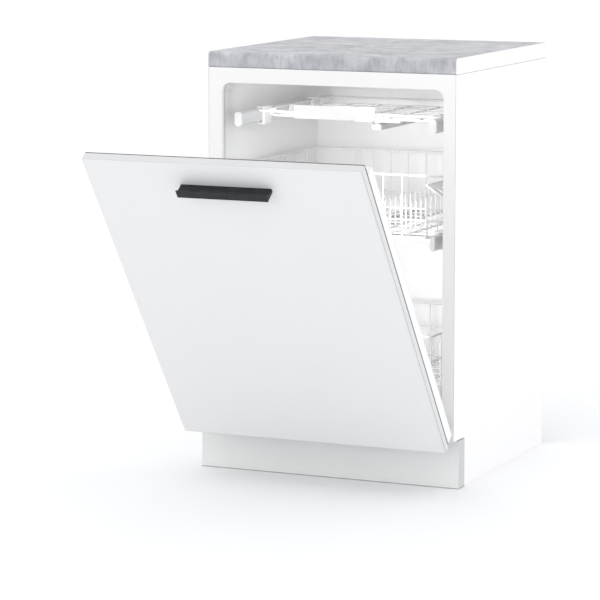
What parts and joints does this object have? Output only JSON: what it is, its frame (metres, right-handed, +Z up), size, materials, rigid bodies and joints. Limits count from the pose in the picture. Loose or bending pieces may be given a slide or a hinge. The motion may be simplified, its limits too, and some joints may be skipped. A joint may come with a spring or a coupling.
{
  "type": "built-in dishwasher",
  "caption": "Built-in dishwasher under a worktop, with a hinged furniture door standing part open, wire baskets, a cutlery tray, spray arms and washing gear inside.",
  "frame": {"origin": "on the floor, under the middle of the furniture front's width, in the plane of the plinth board's front", "axes": "+X to the right as seen from the front, +Y into the cabinet, +Z up"},
  "size_m": [0.596, 1.0611, 0.899],
  "materials": {
    "worktop_laminate": "pale grey concrete-look laminate on chipboard",
    "edge_band": "white edge band",
    "white_enamel": "smooth white enamelled sheet steel",
    "zinc_sheet": "zinc-coated sheet steel",
    "tub_steel": "satin stainless steel",
    "arm_steel": "brushed stainless steel",
    "seal_rubber": "soft grey rubber",
    "base_plastic": "dark grey moulded plastic",
    "foot_plastic": "black moulded plastic",
    "plinth_laminate": "pale grey laminate on chipboard",
    "wash_plastic": "light grey moulded plastic",
    "pump_body": "black glass-filled plastic",
    "heater_steel": "stainless tube",
    "white_plastic": "smooth white moulded plastic",
    "hinge_steel": "bright zinc-plated steel",
    "front_lacquer": "white satin lacquered board",
    "handle_black": "matt black anodised aluminium",
    "fixing_plastic": "grey nylon",
    "control_face": "dark glossy plastic",
    "button_plastic": "silver-grey plastic",
    "board_green": "green circuit board",
    "rail_steel": "stainless steel rail",
    "rack_coating": "light grey nylon coating on steel wire",
    "wheel_plastic": "grey acetal"
  },
  "bodies": {
    "cabinet": {"worktop": "worktop_laminate", "worktop_bands": "edge_band", "left_panel": "white_enamel", "right_panel": "white_enamel", "front_frame": "white_enamel", "back_panel": "zinc_sheet", "tub": "tub_steel", "door_seal": "seal_rubber", "base_tray": "base_plastic", "levelling_feet": "foot_plastic", "plinth_board": "plinth_laminate", "plinth_clips": "foot_plastic", "sump": "base_plastic", "spray_hub": "wash_plastic", "filter_plate": "tub_steel", "circulation_pump": "pump_body", "heater": "heater_steel", "drain_pump": "pump_body", "softener": "white_plastic", "inlet_valve": "white_plastic", "drain_outlet": "pump_body", "mains_inlet": "pump_body", "riser_tube": "wash_plastic", "hinge_brackets": "hinge_steel", "hinge_pins": "hinge_steel", "hinge_springs": "hinge_steel", "tray_rails": "rail_steel", "upper_rails": "rail_steel", "rail_caps": "white_plastic"},
    "door": {"hinge_arms": "hinge_steel", "front_panel": "front_lacquer", "handle": "handle_black", "handle_screws": "hinge_steel", "door_fixings": "fixing_plastic", "door_shell": "white_enamel", "inner_liner": "tub_steel", "control_strip": "control_face", "control_board": "board_green", "latch_case": "foot_plastic", "dispenser": "wash_plastic"},
    "power_key": {"power_button": "button_plastic"},
    "program_key": {"program_button": "button_plastic"},
    "start_key": {"start_button": "button_plastic"},
    "latch": {"latch_bolt": "hinge_steel"},
    "detergent_lid": {"dispenser_lid": "wash_plastic"},
    "rinse_aid_cap": {"rinse_cap": "button_plastic"},
    "filter": {"filter_cup": "wash_plastic"},
    "salt_lid": {"salt_cap": "white_plastic"},
    "top_spray": {"top_arm": "arm_steel"},
    "lower_spray": {"lower_arm": "arm_steel"},
    "upper_spray": {"upper_arm": "arm_steel"},
    "tray": {"cutlery_tray": "rack_coating", "tray_front": "white_plastic"},
    "upper_rack": {"upper_basket": "rack_coating", "upper_feed": "wash_plastic"},
    "shelf_left": {"cup_shelf_l": "rack_coating"},
    "shelf_right": {"cup_shelf_r": "rack_coating"},
    "lower_rack": {"lower_basket": "rack_coating"},
    "front_wheels": {"wheels_front": "wheel_plastic"},
    "rear_wheels": {"wheels_rear": "wheel_plastic"}
  },
  "joints": [
    {"name": "door_hinge", "type": "hinge", "parent": "cabinet", "child": "door", "pos_m": [0.017, -0.058, 0.101], "axis": [1, 0, 0], "range_deg": [-36, 54]},
    {"name": "power_press", "type": "slide", "parent": "door", "child": "power_key", "axis": [0, 0.5878, -0.809], "range_m": [0, 0.0012]},
    {"name": "program_press", "type": "slide", "parent": "door", "child": "program_key", "axis": [0, 0.5878, -0.809], "range_m": [0, 0.0012]},
    {"name": "start_press", "type": "slide", "parent": "door", "child": "start_key", "axis": [0, 0.5878, -0.809], "range_m": [0, 0.0012]},
    {"name": "latch_lift", "type": "slide", "parent": "door", "child": "latch", "axis": [0, -0.5878, 0.809], "range_m": [0, 0.003]},
    {"name": "detergent_lid_turn", "type": "hinge", "parent": "door", "child": "detergent_lid", "pos_m": [-0.015, -0.25045, 0.44448], "axis": [-1, 0, 0], "range_deg": [0, 100]},
    {"name": "rinse_cap_turn", "type": "hinge", "parent": "door", "child": "rinse_aid_cap", "pos_m": [0.065, -0.28378, 0.48577], "axis": [0, 0.809, 0.5878], "range_deg": [0, 90]},
    {"name": "filter_twist", "type": "hinge", "parent": "cabinet", "child": "filter", "pos_m": [0.079, 0.267, 0.118], "axis": [0, 0, 1], "range_deg": [0, 90]},
    {"name": "salt_cap_turn", "type": "hinge", "parent": "cabinet", "child": "salt_lid", "pos_m": [-0.133, 0.393, 0.118], "axis": [0, 0, 1], "range_deg": [0, 90]},
    {"name": "top_spray_turn", "type": "hinge", "parent": "cabinet", "child": "top_spray", "pos_m": [0.017, 0.233, 0.7435], "axis": [0, 0, 1], "continuous": true},
    {"name": "lower_spray_turn", "type": "hinge", "parent": "cabinet", "child": "lower_spray", "pos_m": [0.017, 0.233, 0.16], "axis": [0, 0, 1], "continuous": true},
    {"name": "tray_slide", "type": "slide", "parent": "cabinet", "child": "tray", "axis": [0, -1, 0], "range_m": [0, 0.4]},
    {"name": "upper_rack_slide", "type": "slide", "parent": "cabinet", "child": "upper_rack", "axis": [0, -1, 0], "range_m": [0, 0.27]},
    {"name": "upper_spray_turn", "type": "hinge", "parent": "upper_rack", "child": "upper_spray", "pos_m": [0.017, 0.233, 0.4915], "axis": [0, 0, 1], "continuous": true},
    {"name": "shelf_left_fold", "type": "hinge", "parent": "upper_rack", "child": "shelf_left", "pos_m": [-0.226, 0.223, 0.595], "axis": [0, -1, 0], "range_deg": [-33, 35.5]},
    {"name": "shelf_right_fold", "type": "hinge", "parent": "upper_rack", "child": "shelf_right", "pos_m": [0.26, 0.223, 0.595], "axis": [0, 1, 0], "range_deg": [-33, 35.5]},
    {"name": "lower_rack_slide", "type": "slide", "parent": "cabinet", "child": "lower_rack", "axis": [0, -1, 0], "range_m": [0, 0.085]},
    {"name": "front_wheels_roll", "type": "hinge", "parent": "lower_rack", "child": "front_wheels", "pos_m": [0.017, 0.083, 0.1614], "axis": [1, 0, 0], "range_deg": [0, 300]},
    {"name": "rear_wheels_roll", "type": "hinge", "parent": "lower_rack", "child": "rear_wheels", "pos_m": [0.017, 0.403, 0.1614], "axis": [1, 0, 0], "range_deg": [0, 300]}
  ],
  "couplings": [
    {"joint": "front_wheels_roll", "follows": "lower_rack_slide", "rad_per_m": 58.824},
    {"joint": "rear_wheels_roll", "follows": "lower_rack_slide", "rad_per_m": 58.824}
  ]
}
